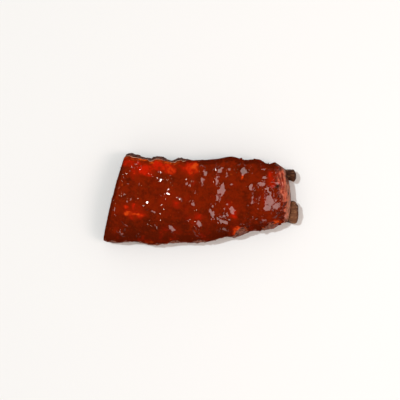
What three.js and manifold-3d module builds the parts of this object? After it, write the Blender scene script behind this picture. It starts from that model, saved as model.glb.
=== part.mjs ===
// A short rack of glazed pork ribs, cooked and cut ready to serve: a slab of meat on three rib bones that run
// its whole length. Millimetres, +Z up. X runs along the bones, Y across them, and the origin is under the
// middle of the rack, on the surface that it lies on, meat side up and bones down.
import * as THREE from "three";
import { mergeVertices } from "three/addons/utils/BufferGeometryUtils.js";
import Module from "manifold-3d";

const wasm = await Module();
wasm.setup();

// Plan outline of the slab. The left end is one slanting knife cut, a little bowed, and the right end is
// rounded off. The far edge is scalloped where the meat shrank along the bones.
const FAR_LEFT_X = -57.2;
const FAR_RIGHT_X = 62.5;
const NEAR_LEFT_X = -74.4;
const NEAR_RIGHT_X = 65;
const LEFT_END_BULGE = 1.2;
const RIGHT_END_BULGE = 5;
const FAR_EDGE = [
  [-57.2, 34.6], [-52.3, 35], [-39, 31.3], [-32, 33], [-22.5, 29.8], [-16.5, 31.6], [-5, 29.8], [5, 29.9],
  [14, 30.8], [24, 32.3], [33, 29.8], [44, 30.2], [51, 26.6], [57, 27.8], [62.5, 24],
];
const NEAR_EDGE = [
  [-74.4, -31.6], [-66, -33.6], [-51.5, -32.6], [-37, -35], [-20, -33.4], [4, -32.8], [19, -29],
  [26.5, -29.3], [34, -26.6], [40, -24], [48, -23.8], [56, -22], [61, -18.9], [65, -17.8],
];

// Heights of the slab. The waist is the level where its sides stand out furthest.
const MIDDLE_TOP_Z = 26.6;
const LEFT_END_DROP = 2;
const RIGHT_END_DROP = 5.5;
const FAR_SIDE_DROP = 1.6;
const NEAR_SIDE_DROP = 4.6;
const WAIST_Z = 6.4;
const UNDERSIDE_Z = 1.9;
const NEAR_EDGE_POWER = 9;
const FAR_EDGE_POWER = 16;
const LEFT_END_POWER = 70;
const RIGHT_END_POWER = 20;
const TOP_ROUNDNESS = 2.2;
const UNDER_POWER = 36;
const UNDER_ROUNDNESS = 1.6;

// The bones lift a little off the surface towards their bare right ends.
const LIFT_FROM_X = 22;
const TIP_LIFT = 4.5;
const TIP_X = 75;

// Low folds cross the meat from the scallops of the far edge, and between the bones the top sinks a little.
const FOLD_PITCH = 18.3;
const FOLD_CREST_X = -52.5;
const FOLD_HEIGHT = 0.25;
const VALLEY_DEPTH = 0.3;

// Uneven swells of the top: each is a long wave, given by its length, height, heading in degrees and phase.
const SWELLS = [
  { length: 47, height: 0.35, heading: 24, phase: 0.6 },
  { length: 31, height: 0.2, heading: -52, phase: 2.1 },
  { length: 22, height: 0.1, heading: 78, phase: 4.0 },
];

// Oval mounds of meat on the top: centre, half width, half length, height, and heading of the long way.
const MOUNDS = [
  { x: -4, y: 19.5, halfWidth: 6, halfLength: 12, height: 0.6, heading: 78 },
  { x: 14, y: 20, halfWidth: 6.5, halfLength: 12, height: 0.8, heading: 76 },
  { x: 10, y: 4, halfWidth: 7, halfLength: 12, height: 0.55, heading: 72 },
  { x: 29, y: 20, halfWidth: 7, halfLength: 11, height: 0.8, heading: 88 },
  { x: 40, y: 9, halfWidth: 6.5, halfLength: 9, height: 0.6, heading: 95 },
  { x: 48, y: -3, halfWidth: 6.5, halfLength: 13, height: 0.8, heading: 96 },
  { x: 4, y: -10, halfWidth: 6, halfLength: 11, height: 0.5, heading: 122 },
  { x: -4, y: -22, halfWidth: 6, halfLength: 11, height: 0.6, heading: 120 },
  { x: 14, y: -21, halfWidth: 6, halfLength: 11, height: 0.6, heading: 118 },
  { x: -25, y: -22, halfWidth: 6, halfLength: 9, height: 0.5, heading: 115 },
];

// The right end is torn along the grain, in ridges that run across the rack.
const STRANDS_FROM_X = 62;
const STRAND_PITCH = 4.4;
const STRAND_HEIGHT = 0.5;

// Counts of faces along and across each half of the slab.
const SLAB_ALONG = 52;
const SLAB_ACROSS = 28;

// Rib bones: the two ends of each centre line, width and height at mid length, sideways bow, how far the
// right end flares, and the length over which it is rounded off.
const BONES = [
  {
    name: "rib_bone_far",
    left: [-59.9, 23],
    right: [73, 18.2],
    width: 8.4,
    height: 7.6,
    bow: 1.2,
    flare: 0,
    rounding: 2.2,
  },
  {
    name: "rib_bone_middle",
    left: [-66.6, -2],
    right: [74.6, -10.3],
    width: 11,
    height: 8.2,
    bow: 0.8,
    flare: 0.85,
    rounding: 5,
  },
  {
    name: "rib_bone_near",
    left: [-72.6, -24.4],
    right: [35, -20.6],
    width: 8.6,
    height: 7.6,
    bow: -1.4,
    flare: 0.1,
    rounding: 1.1,
  },
];
const CUT_SLANT = (FAR_LEFT_X - NEAR_LEFT_X) / (FAR_EDGE[0][1] - NEAR_EDGE[0][1]);
const FLARE_LENGTH = 12;
const END_NARROWING = 0.5;
const BONE_STEPS = 26;
const BONE_SIDES = 16;
const BONE_FLAT = 0.25;
const FIT_GAP = 0.35;

const MEAT_COLOUR = "#751b05";
const BONE_COLOUR = "#64422c";

// A smooth curve y(x) through knots, by cubic pieces whose slopes are taken from the neighbouring knots.
function curveThrough(knots, x) {
  const last = knots.length - 1;
  let k = 0;
  while (k < last - 1 && x > knots[k + 1][0]) k += 1;
  const slope = (i) => {
    const a = knots[Math.max(i - 1, 0)];
    const b = knots[Math.min(i + 1, last)];
    return (b[1] - a[1]) / (b[0] - a[0]);
  };
  const [x0, y0] = knots[k];
  const [x1, y1] = knots[k + 1];
  const run = x1 - x0;
  const u = THREE.MathUtils.clamp((x - x0) / run, 0, 1);
  const u2 = u * u;
  const u3 = u2 * u;
  return (
    (2 * u3 - 3 * u2 + 1) * y0 +
    (u3 - 2 * u2 + u) * run * slope(k) +
    (3 * u2 - 2 * u3) * y1 +
    (u3 - u2) * run * slope(k + 1)
  );
}

// The bones and the meat on them rise together from LIFT_FROM_X to the tips.
function lift(x) {
  const share = Math.max(0, x - LIFT_FROM_X) / (TIP_X - LIFT_FROM_X);
  return TIP_LIFT * share * share;
}

// Plan position for a, from -1 at the left cut to 1 at the right end, and b, from -1 at the near edge to 1 at
// the far edge.
function plan(a, b) {
  const s = (a + 1) / 2;
  const t = (b + 1) / 2;
  const farX = THREE.MathUtils.lerp(FAR_LEFT_X, FAR_RIGHT_X, s);
  const nearX = THREE.MathUtils.lerp(NEAR_LEFT_X, NEAR_RIGHT_X, s);
  const farY = curveThrough(FAR_EDGE, farX);
  const nearY = curveThrough(NEAR_EDGE, nearX);
  const rightBulge = RIGHT_END_BULGE * Math.pow(s, 6) * Math.sqrt(Math.max(0, 1 - b * b));
  const leftBulge = LEFT_END_BULGE * Math.pow(1 - s, 6) * (1 - b * b);
  const x = THREE.MathUtils.lerp(nearX, farX, t) + rightBulge - leftBulge;
  return [x, THREE.MathUtils.lerp(nearY, farY, t)];
}

// How full the slab stands at a and b: 1 over most of it, falling to 0 at the outline.
function fullness(a, b, alongPower, acrossPower, roundness) {
  const along = Math.pow(Math.max(0, 1 - Math.pow(Math.abs(a), alongPower)), 1 / roundness);
  const across = Math.pow(Math.max(0, 1 - Math.pow(Math.abs(b), acrossPower)), 1 / roundness);
  return along * across;
}

// Folds, valleys, swells, mounds and strands of the top, in millimetres up or down.
function relief(x, y, a, b) {
  const slantShare = (1 - a) / 2;
  const foldX = x - CUT_SLANT * slantShare * (y - FAR_EDGE[0][1]);
  let up = FOLD_HEIGHT * (0.6 + 0.4 * b) * Math.cos((2 * Math.PI * (foldX - FOLD_CREST_X)) / FOLD_PITCH);
  up -= (VALLEY_DEPTH / 2) * Math.cos(3 * Math.PI * b);
  for (const { length, height, heading, phase } of SWELLS) {
    const angle = THREE.MathUtils.degToRad(heading);
    const along = x * Math.cos(angle) + y * Math.sin(angle);
    up += height * Math.cos((2 * Math.PI * along) / length + phase);
  }
  for (const mound of MOUNDS) {
    const angle = THREE.MathUtils.degToRad(mound.heading);
    const offX = x - mound.x;
    const offY = y - mound.y;
    const along = (offX * Math.cos(angle) + offY * Math.sin(angle)) / mound.halfLength;
    const across = (offY * Math.cos(angle) - offX * Math.sin(angle)) / mound.halfWidth;
    up += mound.height * Math.exp(-along * along - across * across);
  }
  const torn = THREE.MathUtils.smoothstep(x, STRANDS_FROM_X, STRANDS_FROM_X + STRAND_PITCH);
  up += STRAND_HEIGHT * torn * Math.sin((2 * Math.PI * (x + 0.08 * y)) / STRAND_PITCH);
  return up;
}

function topPoint(a, b) {
  const [x, y] = plan(a, b);
  const endDrop = (a < 0 ? LEFT_END_DROP : RIGHT_END_DROP) * a * a;
  const sideDrop = (b < 0 ? NEAR_SIDE_DROP : FAR_SIDE_DROP) * Math.pow(Math.abs(b), 2.5);
  const endPower = a < 0 ? LEFT_END_POWER : RIGHT_END_POWER;
  const sidePower = b < 0 ? NEAR_EDGE_POWER : FAR_EDGE_POWER;
  const full = fullness(a, b, endPower, sidePower, TOP_ROUNDNESS);
  const crest = MIDDLE_TOP_Z - endDrop - sideDrop + relief(x, y, a, b);
  const waist = WAIST_Z + lift(x);
  return [x, y, waist + (crest - waist) * full];
}

function underPoint(a, b) {
  const [x, y] = plan(a, b);
  const full = fullness(a, b, UNDER_POWER, UNDER_POWER, UNDER_ROUNDNESS);
  const depth = WAIST_Z - UNDERSIDE_Z;
  return [x, y, WAIST_Z + lift(x) - depth * full];
}

// Spaces the rows of faces closer near the outline, where the slab turns down.
function spread(k, count) {
  const even = (2 * k) / count - 1;
  return 0.25 * even + 0.75 * Math.sin((even * Math.PI) / 2);
}

// The slab as one closed skin: a grid of faces over the top and another under it, sewn at the outline.
function slabGeometry() {
  const positions = [];
  const indices = [];
  const cell = (half, i, j) => (half * (SLAB_ALONG + 1) + i) * (SLAB_ACROSS + 1) + j;
  for (const half of [0, 1]) {
    for (let i = 0; i <= SLAB_ALONG; i += 1) {
      for (let j = 0; j <= SLAB_ACROSS; j += 1) {
        const a = spread(i, SLAB_ALONG);
        const b = spread(j, SLAB_ACROSS);
        positions.push(...(half === 0 ? topPoint(a, b) : underPoint(a, b)));
      }
    }
    for (let i = 0; i < SLAB_ALONG; i += 1) {
      for (let j = 0; j < SLAB_ACROSS; j += 1) {
        const p = cell(half, i, j);
        const q = cell(half, i + 1, j);
        const r = cell(half, i + 1, j + 1);
        const s = cell(half, i, j + 1);
        if (half === 0) indices.push(p, q, r, p, r, s);
        else indices.push(p, r, q, p, s, r);
      }
    }
  }
  return closedGeometry(positions, indices);
}

function closedGeometry(positions, indices) {
  const geometry = new THREE.BufferGeometry();
  geometry.setAttribute("position", new THREE.Float32BufferAttribute(positions, 3));
  geometry.setIndex(indices);
  return mergeVertices(geometry, 1e-3);
}

// Centre of a bone at share u of its length: straight in plan with a slight bow, resting until it lifts.
function boneCentre(bone, u) {
  const x = THREE.MathUtils.lerp(bone.left[0], bone.right[0], u);
  const y = THREE.MathUtils.lerp(bone.left[1], bone.right[1], u) + bone.bow * Math.sin(Math.PI * u);
  return [x, y, bone.height / 2 - BONE_FLAT + lift(x)];
}

// A bone, or with a positive margin the space that it needs: rings of an oval section along its centre line.
// The left end follows the slanting cut, the right end is rounded off, and the belly is flat where it rests.
function boneGeometry(bone, margin) {
  const positions = [];
  const indices = [];
  const length = bone.right[0] - bone.left[0];
  for (let i = 0; i <= BONE_STEPS; i += 1) {
    const u = (1 - Math.cos((Math.PI * i) / BONE_STEPS)) / 2;
    const [x, y, z] = boneCentre(bone, u);
    const fromRight = (1 - u) * length;
    const flared = 1 + bone.flare * Math.exp(-fromRight / FLARE_LENGTH);
    const intoEnd = margin > 0 ? 0 : Math.max(0, 1 - fromRight / bone.rounding);
    const narrowed = 1 - END_NARROWING * Math.pow(intoEnd, 2.5);
    const halfWidth = (bone.width / 2) * flared * narrowed + margin;
    const halfHeight = (bone.height / 2) * (1 + (flared - 1) * 0.3) * narrowed + margin;
    const slant = CUT_SLANT * Math.pow(1 - u, 4);
    const reach = i === 0 ? -margin * 4 : i === BONE_STEPS ? margin * 4 : 0;
    for (let j = 0; j < BONE_SIDES; j += 1) {
      const angle = (2 * Math.PI * (j + 0.5)) / BONE_SIDES;
      const across = halfWidth * Math.cos(angle);
      const lowest = margin > 0 ? -1 : 0;
      const height = Math.max(z + halfHeight * Math.sin(angle), lowest);
      positions.push(x + slant * across + reach, y + across, height);
    }
  }
  const ring = (i, j) => i * BONE_SIDES + (j % BONE_SIDES);
  for (let i = 0; i < BONE_STEPS; i += 1) {
    for (let j = 0; j < BONE_SIDES; j += 1) {
      indices.push(ring(i, j), ring(i, j + 1), ring(i + 1, j + 1));
      indices.push(ring(i, j), ring(i + 1, j + 1), ring(i + 1, j));
    }
  }
  for (let j = 1; j < BONE_SIDES - 1; j += 1) {
    indices.push(ring(0, 0), ring(0, j + 1), ring(0, j));
    indices.push(ring(BONE_STEPS, 0), ring(BONE_STEPS, j), ring(BONE_STEPS, j + 1));
  }
  return closedGeometry(positions, indices);
}

function solidOf(geometry) {
  return new wasm.Manifold(
    new wasm.Mesh({
      numProp: 3,
      vertProperties: new Float32Array(geometry.attributes.position.array),
      triVerts: new Uint32Array(geometry.index.array),
    }),
  );
}

function geometryOf(solid) {
  const { vertProperties, triVerts } = solid.getMesh();
  const geometry = new THREE.BufferGeometry();
  geometry.setAttribute("position", new THREE.Float32BufferAttribute(vertProperties, 3));
  geometry.setIndex(new THREE.BufferAttribute(triVerts, 1));
  return geometry;
}

function piece(name, geometry, colour, roughness) {
  const material = new THREE.MeshStandardMaterial({ color: colour, roughness, metalness: 0 });
  const mesh = new THREE.Mesh(geometry, material);
  mesh.name = name;
  return mesh;
}

// The meat, with an open channel under it for each bone.
function meat() {
  let slab = solidOf(slabGeometry());
  for (const bone of BONES) slab = slab.subtract(solidOf(boneGeometry(bone, FIT_GAP)));
  return piece("meat", geometryOf(slab), MEAT_COLOUR, 0.25);
}

const rack = new THREE.Group();
rack.add(meat());
for (const bone of BONES) rack.add(piece(bone.name, boneGeometry(bone, 0), BONE_COLOUR, 0.6));

export default rack;
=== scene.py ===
"""Dresses the short rack of glazed pork ribs: torn and browned meat, a wet glaze, and cooked rib bones."""

import math

import bpy
import numpy as np
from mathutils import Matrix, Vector


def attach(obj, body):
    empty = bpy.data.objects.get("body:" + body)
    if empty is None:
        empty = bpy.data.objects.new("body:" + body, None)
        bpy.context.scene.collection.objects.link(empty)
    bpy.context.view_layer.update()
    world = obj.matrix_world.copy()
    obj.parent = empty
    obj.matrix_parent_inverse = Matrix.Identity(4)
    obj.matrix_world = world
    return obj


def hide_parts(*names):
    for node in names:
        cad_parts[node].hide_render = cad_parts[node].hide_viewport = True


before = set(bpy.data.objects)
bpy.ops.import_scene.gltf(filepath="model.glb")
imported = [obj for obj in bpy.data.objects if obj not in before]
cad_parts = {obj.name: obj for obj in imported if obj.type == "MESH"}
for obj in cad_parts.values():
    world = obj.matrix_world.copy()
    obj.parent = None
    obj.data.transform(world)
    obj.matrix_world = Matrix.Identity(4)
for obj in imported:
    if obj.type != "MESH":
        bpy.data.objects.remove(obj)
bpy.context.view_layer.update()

bl_info = {
    "name": "Rack of ribs",
    "version": (1, 0, 0),
    "blender": (4, 5, 0),
    "location": "View3D > Sidebar > Ribs",
    "description": "Builds the surfaces and finishes of a glazed rack of ribs",
    "category": "Add Mesh",
}

MM = 0.001

# The solids' own sizes, in millimetres: outline, heights, folds and bones

FAR_LEFT_X, FAR_RIGHT_X = -57.2, 62.5
NEAR_LEFT_X, NEAR_RIGHT_X = -74.4, 65.0
LEFT_END_BULGE, RIGHT_END_BULGE = 1.2, 5.0
FAR_EDGE = np.array(
    [
        [-57.2, 34.6], [-52.3, 35.0], [-39, 31.3], [-32, 33.0], [-22.5, 29.8], [-16.5, 31.6], [-5, 29.8],
        [5, 29.9], [14, 30.8], [24, 32.3], [33, 29.8], [44, 30.2], [51, 26.6], [57, 27.8], [62.5, 24],
    ]
)  # fmt: skip
NEAR_EDGE = np.array(
    [
        [-74.4, -31.6], [-66, -33.6], [-51.5, -32.6], [-37, -35.0], [-20, -33.4], [4, -32.8],
        [19, -29], [26.5, -29.3], [34, -26.6], [40, -24], [48, -23.8], [56, -22], [61, -18.9], [65, -17.8],
    ]
)  # fmt: skip
# How far the left cut goes to the right for each millimetre towards the far side.
CUT_SLANT = (FAR_LEFT_X - NEAR_LEFT_X) / (FAR_EDGE[0, 1] - NEAR_EDGE[0, 1])

MIDDLE_TOP_Z = 26.6
LEFT_END_DROP, RIGHT_END_DROP = 2.0, 5.5
FAR_SIDE_DROP, NEAR_SIDE_DROP = 1.6, 4.6
WAIST_Z = 6.4
UNDERSIDE_Z = 1.9
NEAR_EDGE_POWER, FAR_EDGE_POWER, LEFT_END_POWER, RIGHT_END_POWER = 9, 16, 70, 20
TOP_ROUNDNESS = 2.2
UNDER_POWER, UNDER_ROUNDNESS = 36, 1.6
LIFT_FROM_X, TIP_LIFT, TIP_X = 22.0, 4.5, 75.0

FOLD_PITCH, FOLD_CREST_X = 18.3, -52.5
FOLD_HEIGHT, VALLEY_DEPTH = 0.25, 0.3
# Length, height, heading in degrees and phase of each long wave of the top.
SWELLS = ((47, 0.35, 24, 0.6), (31, 0.2, -52, 2.1), (22, 0.1, 78, 4.0))
# Mounds of meat on the top: centre x and y, half width, half length, height and the long way's heading.
MOUNDS = (
    (-4, 19.5, 6, 12, 0.6, 78),
    (14, 20, 6.5, 12, 0.8, 76),
    (10, 4, 7, 12, 0.55, 72),
    (29, 20, 7, 11, 0.8, 88),
    (40, 9, 6.5, 9, 0.6, 95),
    (48, -3, 6.5, 13, 0.8, 96),
    (4, -10, 6, 11, 0.5, 122),
    (-4, -22, 6, 11, 0.6, 120),
    (14, -21, 6, 11, 0.6, 118),
    (-25, -22, 6, 9, 0.5, 115),
)
STRANDS_FROM_X, STRAND_PITCH, STRAND_HEIGHT = 62.0, 4.4, 0.5

# Each bone: where its ends are in x and y, its width and height, how far it bows sideways and flares at the
# right end, how long that end's rounding is, and how stained it is.
BONES = {
    "rib_bone_far": {
        "left": (-59.9, 23), "right": (73, 18.2), "width": 8.4, "height": 7.6, "bow": 1.2, "flare": 0.0,
        "rounding": 2.2, "stain": 0.7,
    },
    "rib_bone_middle": {
        "left": (-66.6, -2), "right": (74.6, -10.3), "width": 11, "height": 8.2, "bow": 0.8, "flare": 0.85,
        "rounding": 5.0, "stain": 0.15,
    },
    "rib_bone_near": {
        "left": (-72.6, -24.4), "right": (35, -20.6), "width": 8.6, "height": 7.6, "bow": -1.4, "flare": 0.1,
        "rounding": 1.1, "stain": 0.4,
    },
}  # fmt: skip
# How far back the flare reaches, and how much narrower a rounded end is.
FLARE_LENGTH, END_NARROWING = 12.0, 0.5
# How deep each bone's underside is cut flat, and how far apart the bones lie.
BONE_FLAT, BONE_PITCH = 0.25, 24

# Where the camera, the sun and the pale card stand. The sun is as good as infinitely far away.
CAMERA_PLACE, CAMERA_LENS = (-0.57, -0.57, 915.0), 106.6
SUN_PLACE = (-380000.0, 180000.0, 907000.0)
CARD_PLACE = (495.0, -90.0, 767.0)


def smoothstep(x, low, high):
    """0 below low, 1 above high, and 3t^2 - 2t^3 between them."""
    t = np.clip((x - low) / (high - low), 0, 1)
    return t * t * (3 - 2 * t)


def curve_through(knots, x):
    """A smooth y(x) through knots: cubic pieces whose slopes come from the neighbouring knots."""
    last = len(knots) - 1
    before = knots[np.maximum(np.arange(last + 1) - 1, 0)]
    after = knots[np.minimum(np.arange(last + 1) + 1, last)]
    slopes = (after[:, 1] - before[:, 1]) / (after[:, 0] - before[:, 0])
    k = np.clip(np.searchsorted(knots[:, 0], x, side="right") - 1, 0, last - 1)
    run = knots[k + 1, 0] - knots[k, 0]
    u = np.clip((x - knots[k, 0]) / run, 0, 1)
    from_start = (2 * u**3 - 3 * u**2 + 1) * knots[k, 1] + (u**3 - 2 * u**2 + u) * run * slopes[k]
    return from_start + (3 * u**2 - 2 * u**3) * knots[k + 1, 1] + (u**3 - u**2) * run * slopes[k + 1]


def lift(x):
    """How far meat and bones have risen at x: the square of the share of the way to the tips."""
    return TIP_LIFT * (np.maximum(0, x - LIFT_FROM_X) / (TIP_X - LIFT_FROM_X)) ** 2


def plan(a, b):
    """Plan x and y for a, from -1 at the left cut to 1 at the right end, and b, from -1 near to 1 far."""
    s, t = (a + 1) / 2, (b + 1) / 2
    far_x = FAR_LEFT_X + (FAR_RIGHT_X - FAR_LEFT_X) * s
    near_x = NEAR_LEFT_X + (NEAR_RIGHT_X - NEAR_LEFT_X) * s
    far_y = curve_through(FAR_EDGE, far_x)
    near_y = curve_through(NEAR_EDGE, near_x)
    bulge = RIGHT_END_BULGE * s**6 * np.sqrt(np.maximum(0, 1 - b * b))
    bulge = bulge - LEFT_END_BULGE * (1 - s) ** 6 * (1 - b * b)
    return near_x + (far_x - near_x) * t + bulge, near_y + (far_y - near_y) * t


def fullness(a, b, along_power, across_power, roundness):
    """How full the slab stands: the product of a flattened arch along and one across, 0 at the outline."""
    along = np.maximum(0, 1 - np.abs(a) ** along_power) ** (1 / roundness)
    return along * np.maximum(0, 1 - np.abs(b) ** across_power) ** (1 / roundness)


def mounds(x, y, rows):
    """The sum of oval mounds: each is its height times e to the minus squared distance in half sizes."""
    up = 0 * x
    for centre_x, centre_y, half_width, half_length, height, heading in rows:
        c, s = math.cos(math.radians(heading)), math.sin(math.radians(heading))
        along = (x - centre_x) * c + (y - centre_y) * s
        across = (y - centre_y) * c - (x - centre_x) * s
        up = up + height * np.exp(-((along / half_length) ** 2) - (across / half_width) ** 2)
    return up


def relief(x, y, a, b):
    """Folds, valleys between the bones, long waves and the torn end's ridges, in millimetres up or down."""
    fold_x = x - CUT_SLANT * (1 - a) / 2 * (y - FAR_EDGE[0, 1])
    up = FOLD_HEIGHT * (0.6 + 0.4 * b) * np.cos(2 * np.pi * (fold_x - FOLD_CREST_X) / FOLD_PITCH)
    up = up - VALLEY_DEPTH / 2 * np.cos(3 * np.pi * b)
    for length, height, heading, phase in SWELLS:
        along = x * math.cos(math.radians(heading)) + y * math.sin(math.radians(heading))
        up = up + height * np.cos(2 * np.pi * along / length + phase)
    up = up + mounds(x, y, MOUNDS)
    torn = smoothstep(x, STRANDS_FROM_X, STRANDS_FROM_X + STRAND_PITCH)
    return up + STRAND_HEIGHT * torn * np.sin(2 * np.pi * (x + 0.08 * y) / STRAND_PITCH)


def top_surface(a, b):
    """Points of the slab's top and sides: the waist's height plus fullness times the crest's rise."""
    x, y = plan(a, b)
    end_drop = np.where(a < 0, LEFT_END_DROP, RIGHT_END_DROP) * a * a
    side_drop = np.where(b < 0, NEAR_SIDE_DROP, FAR_SIDE_DROP) * np.abs(b) ** 2.5
    end_power = np.where(a < 0, LEFT_END_POWER, RIGHT_END_POWER)
    full = fullness(a, b, end_power, np.where(b < 0, NEAR_EDGE_POWER, FAR_EDGE_POWER), TOP_ROUNDNESS)
    waist = WAIST_Z + lift(x)
    crest = MIDDLE_TOP_Z - end_drop - side_drop + relief(x, y, a, b)
    return np.stack([x, y, waist + (crest - waist) * full], axis=-1)


def under_surface(a, b):
    """Points of the slab's underside, flat between the bones and turned up to the waist at the outline."""
    x, y = plan(a, b)
    full = fullness(a, b, UNDER_POWER, UNDER_POWER, UNDER_ROUNDNESS)
    return np.stack([x, y, WAIST_Z + lift(x) - (WAIST_Z - UNDERSIDE_Z) * full], axis=-1)


# Surfaces as arrays

# Half widths and rises of the arches across and along the slab, and in how many points they are measured.
HALF_WIDTH, LEFT_HALF, RIGHT_HALF = 33, 72, 70
NEAR_RISE, FAR_RISE, LEFT_RISE, RIGHT_RISE = 15, 18, 15, 12
ARC_POINTS = 4001
# How many waves a ripple field sums, and the shortest normal that counts as one.
WAVE_COUNT = 10
LEAST_LENGTH = 1e-12


def by_arc(power, half, rise):
    """A flattened arch: shares of the way along its profile, the shares of its half width where they lie, and
    the profile's length. Rows placed evenly on the first are evenly far apart along the profile."""
    share = 1 - np.linspace(1, 0, ARC_POINTS) ** 3
    height = np.maximum(0, 1 - share**power) ** (1 / TOP_ROUNDNESS) * rise
    steps = np.hypot(np.diff(share) * half, np.diff(height))
    arc = np.concatenate([[0], np.cumsum(steps)])
    return arc / arc[-1], share, arc[-1]


NEAR_ARC = by_arc(NEAR_EDGE_POWER, HALF_WIDTH, NEAR_RISE)
FAR_ARC = by_arc(FAR_EDGE_POWER, HALF_WIDTH, FAR_RISE)
LEFT_ARC = by_arc(LEFT_END_POWER, LEFT_HALF, LEFT_RISE)
RIGHT_ARC = by_arc(RIGHT_END_POWER, RIGHT_HALF, RIGHT_RISE)


def between(low_arc, high_arc, v):
    """The share of the half width at v, from -1 to 1, measured along the profile of the half that v is in."""
    return np.where(v < 0, -np.interp(-v, *low_arc[:2]), np.interp(v, *high_arc[:2]))


def across_at(u):
    """b for u, from -1 on the near side to 1 on the far side."""
    return between(NEAR_ARC, FAR_ARC, u)


def along_at(v):
    """a for v, from -1 at the left cut to 1 at the torn end."""
    return between(LEFT_ARC, RIGHT_ARC, v)


def normals_of(points):
    """Unit normals of a grid of points: the cross product of its two directions of travel."""
    across = np.cross(np.gradient(points, axis=0), np.gradient(points, axis=1))
    return across / np.maximum(np.linalg.norm(across, axis=-1, keepdims=True), LEAST_LENGTH)


def ripples(points, length, seed, stretch=(1, 1, 1)):
    """Seeded plane waves of about this length, longer by stretch along each axis, summed to a spread of 1."""
    rng = np.random.default_rng(seed)
    headings = rng.normal(size=(WAVE_COUNT, 3))
    headings /= np.linalg.norm(headings, axis=1, keepdims=True)
    waves = headings * (2 * np.pi / (length * rng.uniform(0.75, 1.4, (WAVE_COUNT, 1)))) / np.array(stretch)
    phases = rng.uniform(0, 2 * np.pi, WAVE_COUNT)
    total = np.zeros(points.shape[:-1])
    for wave, phase in zip(waves, phases):
        total += np.cos(points @ wave + phase)
    return total * math.sqrt(2 / WAVE_COUNT)


def ridges(points, length, seed, stretch=(1, 1, 1)):
    """Sharp-topped ridges from 0 to 1: one less the size of two ripple fields' smaller one."""
    field = np.minimum(
        np.abs(ripples(points, length, seed, stretch)), np.abs(ripples(points, length, seed + 1, stretch))
    )
    return 1 - np.minimum(field, 1)


def add_mesh(name, points, faces, attributes, material):
    """Makes an object of points in millimetres, with one value per point under each attribute's name."""
    mesh = bpy.data.meshes.new(name)
    mesh.from_pydata(np.asarray(points) * MM, [], faces)
    for label, values in attributes.items():
        layer = mesh.attributes.new(label, "FLOAT", "POINT")
        layer.data.foreach_set("value", np.asarray(values, np.float32))
    mesh.polygons.foreach_set("use_smooth", np.ones(len(mesh.polygons), bool))
    mesh.materials.append(material)
    mesh.update()
    piece = bpy.data.objects.new(name, mesh)
    bpy.context.scene.collection.objects.link(piece)
    return piece


def quads(ids):
    """Four corners for each cell of a grid of point numbers, wound as the grid's two directions run."""
    corners = (ids[:-1, :-1], ids[1:, :-1], ids[1:, 1:], ids[:-1, 1:])
    return np.stack([c.ravel() for c in corners], axis=-1)


def pillow(upper, lower):
    """Joins two grids of points that share their outermost rows into one closed skin: points and faces."""
    rows, columns = upper.shape[:2]
    upper_ids = np.arange(rows * columns).reshape(rows, columns)
    lower_ids = upper_ids.copy()
    inner = (rows - 2) * (columns - 2)
    lower_ids[1:-1, 1:-1] = (rows * columns + np.arange(inner)).reshape(rows - 2, columns - 2)
    points = np.concatenate([upper.reshape(-1, 3), lower[1:-1, 1:-1].reshape(-1, 3)])
    faces = np.concatenate([quads(upper_ids), quads(lower_ids)[:, ::-1]])
    return points, faces.tolist()


def backed(front, rings):
    """Closes a grid of points with rings that start at its outermost points, taken once round, and end in one
    point behind it: points and faces."""
    rows, columns = front.shape[:2]
    ids = np.arange(rows * columns).reshape(rows, columns)
    steps, around = rings.shape[:2]
    behind = rows * columns + np.arange((steps - 2) * around).reshape(steps - 2, around)
    behind = np.concatenate([round_the_edge(ids)[None], behind])
    behind = np.concatenate([behind, behind[:, :1]], axis=1)
    last = rows * columns + (steps - 2) * around
    points = np.concatenate([front.reshape(-1, 3), rings[1:-1].reshape(-1, 3), rings[-1, :1]])
    end = np.stack([np.full(around, last), behind[-1, :-1], behind[-1, 1:]], axis=-1)
    faces = np.concatenate([quads(ids), quads(behind)[:, ::-1]])
    return points, faces.tolist() + end.tolist()


def round_the_edge(grid):
    """The outermost entries of a grid, once round."""
    return np.concatenate([grid[:-1, 0], grid[-1, :-1], grid[:0:-1, -1], grid[0, :0:-1]])


def once_at_the_ends(grid):
    """The entries of a grid as a list, with only one for its first row and one for its last."""
    return np.concatenate([grid[:1, 0], grid[1:-1].reshape(-1, *grid.shape[2:]), grid[-1:, 0]])


def capped_tube(rings):
    """Joins rings of points, the first and last of which have shrunk to a point, into one closed skin."""
    rows, sides = rings.shape[:2]
    ids = 1 + np.arange((rows - 2) * sides).reshape(rows - 2, sides)
    ids = np.concatenate([ids, ids[:, :1]], axis=1)
    last = 1 + (rows - 2) * sides
    start = np.stack([np.zeros(sides, int), ids[0, 1:], ids[0, :-1]], axis=-1)
    end = np.stack([np.full(sides, last), ids[-1, :-1], ids[-1, 1:]], axis=-1)
    return once_at_the_ends(rings), quads(ids)[:, ::-1].tolist() + start.tolist() + end.tolist()


# Shaders


def linear(colour):
    """A display colour of three bytes as the linear colour that the shaders use."""
    c = np.array(colour) / 255
    return tuple(np.where(c <= 0.04045, c / 12.92, ((c + 0.055) / 1.055) ** 2.4))


class Value:
    """A shader socket that arithmetic works on: each operator adds one Math node."""

    def __init__(self, shader, socket):
        self.shader, self.socket = shader, socket

    def math(self, operation, first, second):
        return self.shader.node("ShaderNodeMath", {"operation": operation}, {0: first, 1: second})

    def __add__(self, other):
        return self.math("ADD", self, other)

    def __sub__(self, other):
        return self.math("SUBTRACT", self, other)

    def __rsub__(self, other):
        return self.math("SUBTRACT", other, self)

    def __mul__(self, other):
        return self.math("MULTIPLY", self, other)

    def step(self, low, high):
        """0 where this is under low, 1 where it is over high, and a smooth step between."""
        inputs = {"Value": self, "From Min": low, "From Max": high}
        return self.shader.node("ShaderNodeMapRange", {"interpolation_type": "SMOOTHSTEP"}, inputs)


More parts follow.
